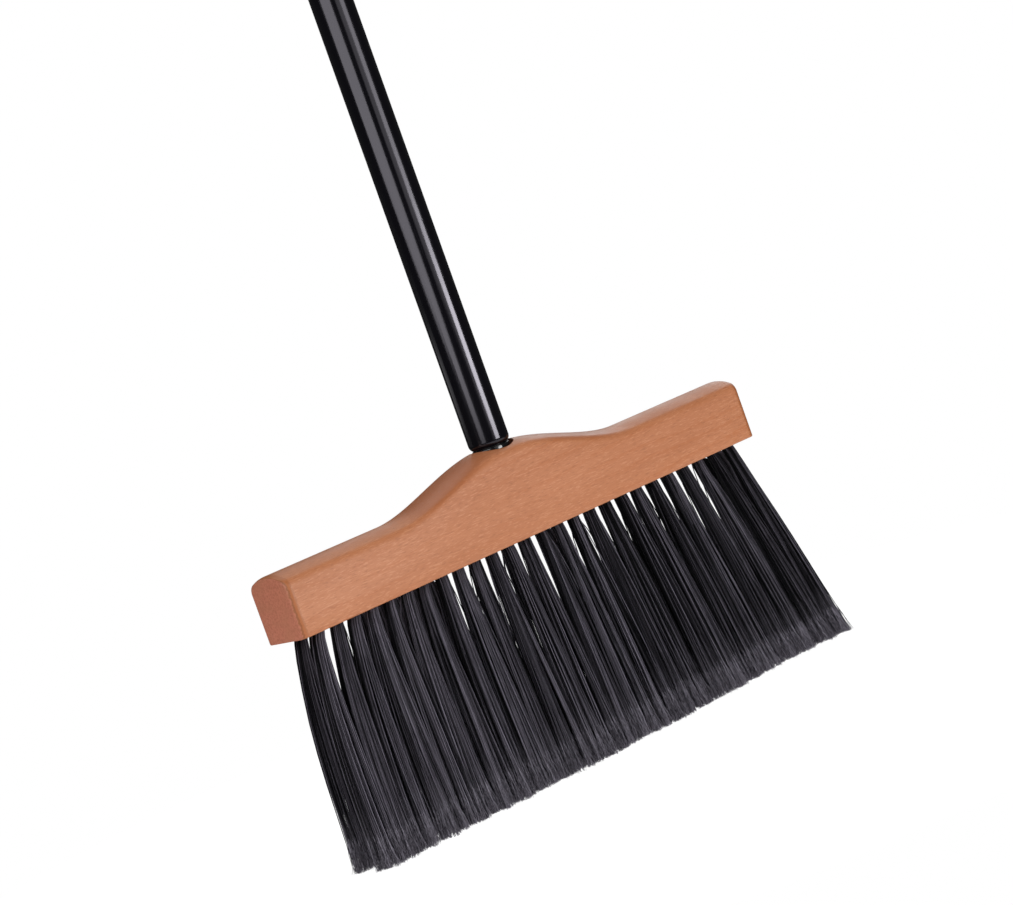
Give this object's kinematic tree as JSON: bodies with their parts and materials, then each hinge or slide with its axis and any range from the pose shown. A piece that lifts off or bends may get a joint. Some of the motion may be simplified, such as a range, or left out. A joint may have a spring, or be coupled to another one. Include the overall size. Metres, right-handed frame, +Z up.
{
  "type": "upright block broom",
  "caption": "Upright floor broom: a lacquered beech block with two fanned rows of black bristle tufts, and a black enamelled tube handle that screws into it.",
  "frame": {"origin": "centre of the footprint of the bristle tips, in the plane of the trimmed tips, on the handle's axis", "axes": "+Z up along the handle's axis, X along the block, -Y out of the block's front face"},
  "size_m": [0.3529, 0.0388, 1.3906],
  "materials": {
    "beech": "steamed beech, sanded, clear satin lacquer",
    "bristle": "black synthetic filament, satin, flagged and greyer at the tips",
    "enamel": "gloss black enamel on thin steel tube",
    "collar": "gloss black moulded ring",
    "tip": "black moulded plastic, satin",
    "cap": "black moulded plastic, fine matt texture"
  },
  "bodies": {
    "head": {"wood_block": "beech", "tuft_front_01": "bristle", "tuft_front_02": "bristle", "tuft_front_03": "bristle", "tuft_front_04": "bristle", "tuft_front_05": "bristle", "tuft_front_06": "bristle", "tuft_front_07": "bristle", "tuft_front_08": "bristle", "tuft_front_09": "bristle", "tuft_front_10": "bristle", "tuft_front_11": "bristle", "tuft_front_12": "bristle", "tuft_front_13": "bristle", "tuft_front_14": "bristle", "tuft_front_15": "bristle", "tuft_front_16": "bristle", "tuft_front_17": "bristle", "tuft_front_18": "bristle", "tuft_front_19": "bristle", "tuft_front_20": "bristle", "tuft_front_21": "bristle", "tuft_front_22": "bristle", "tuft_front_23": "bristle", "tuft_front_24": "bristle", "tuft_front_25": "bristle", "tuft_front_26": "bristle", "tuft_back_01": "bristle", "tuft_back_02": "bristle", "tuft_back_03": "bristle", "tuft_back_04": "bristle", "tuft_back_05": "bristle", "tuft_back_06": "bristle", "tuft_back_07": "bristle", "tuft_back_08": "bristle", "tuft_back_09": "bristle", "tuft_back_10": "bristle", "tuft_back_11": "bristle", "tuft_back_12": "bristle", "tuft_back_13": "bristle", "tuft_back_14": "bristle", "tuft_back_15": "bristle", "tuft_back_16": "bristle", "tuft_back_17": "bristle", "tuft_back_18": "bristle", "tuft_back_19": "bristle", "tuft_back_20": "bristle", "tuft_back_21": "bristle", "tuft_back_22": "bristle", "tuft_back_23": "bristle", "tuft_back_24": "bristle", "tuft_back_25": "bristle", "tuft_back_26": "bristle"},
    "collar": {"collar": "collar"},
    "handle": {"handle_tube": "enamel", "threaded_tip": "tip", "hang_cap": "cap"}
  },
  "joints": [
    {"name": "handle_rise", "type": "slide", "parent": "head", "child": "collar", "axis": [0, 0, 1], "range_m": [0, 0.0254]},
    {"name": "handle_turn", "type": "hinge", "parent": "collar", "child": "handle", "pos_m": [0, 0, 0.1714], "axis": [0, 0, 1], "range_deg": [0, 1800]}
  ],
  "couplings": [
    {"joint": "handle_turn", "follows": "handle_rise", "rad_per_m": 1236.8}
  ]
}
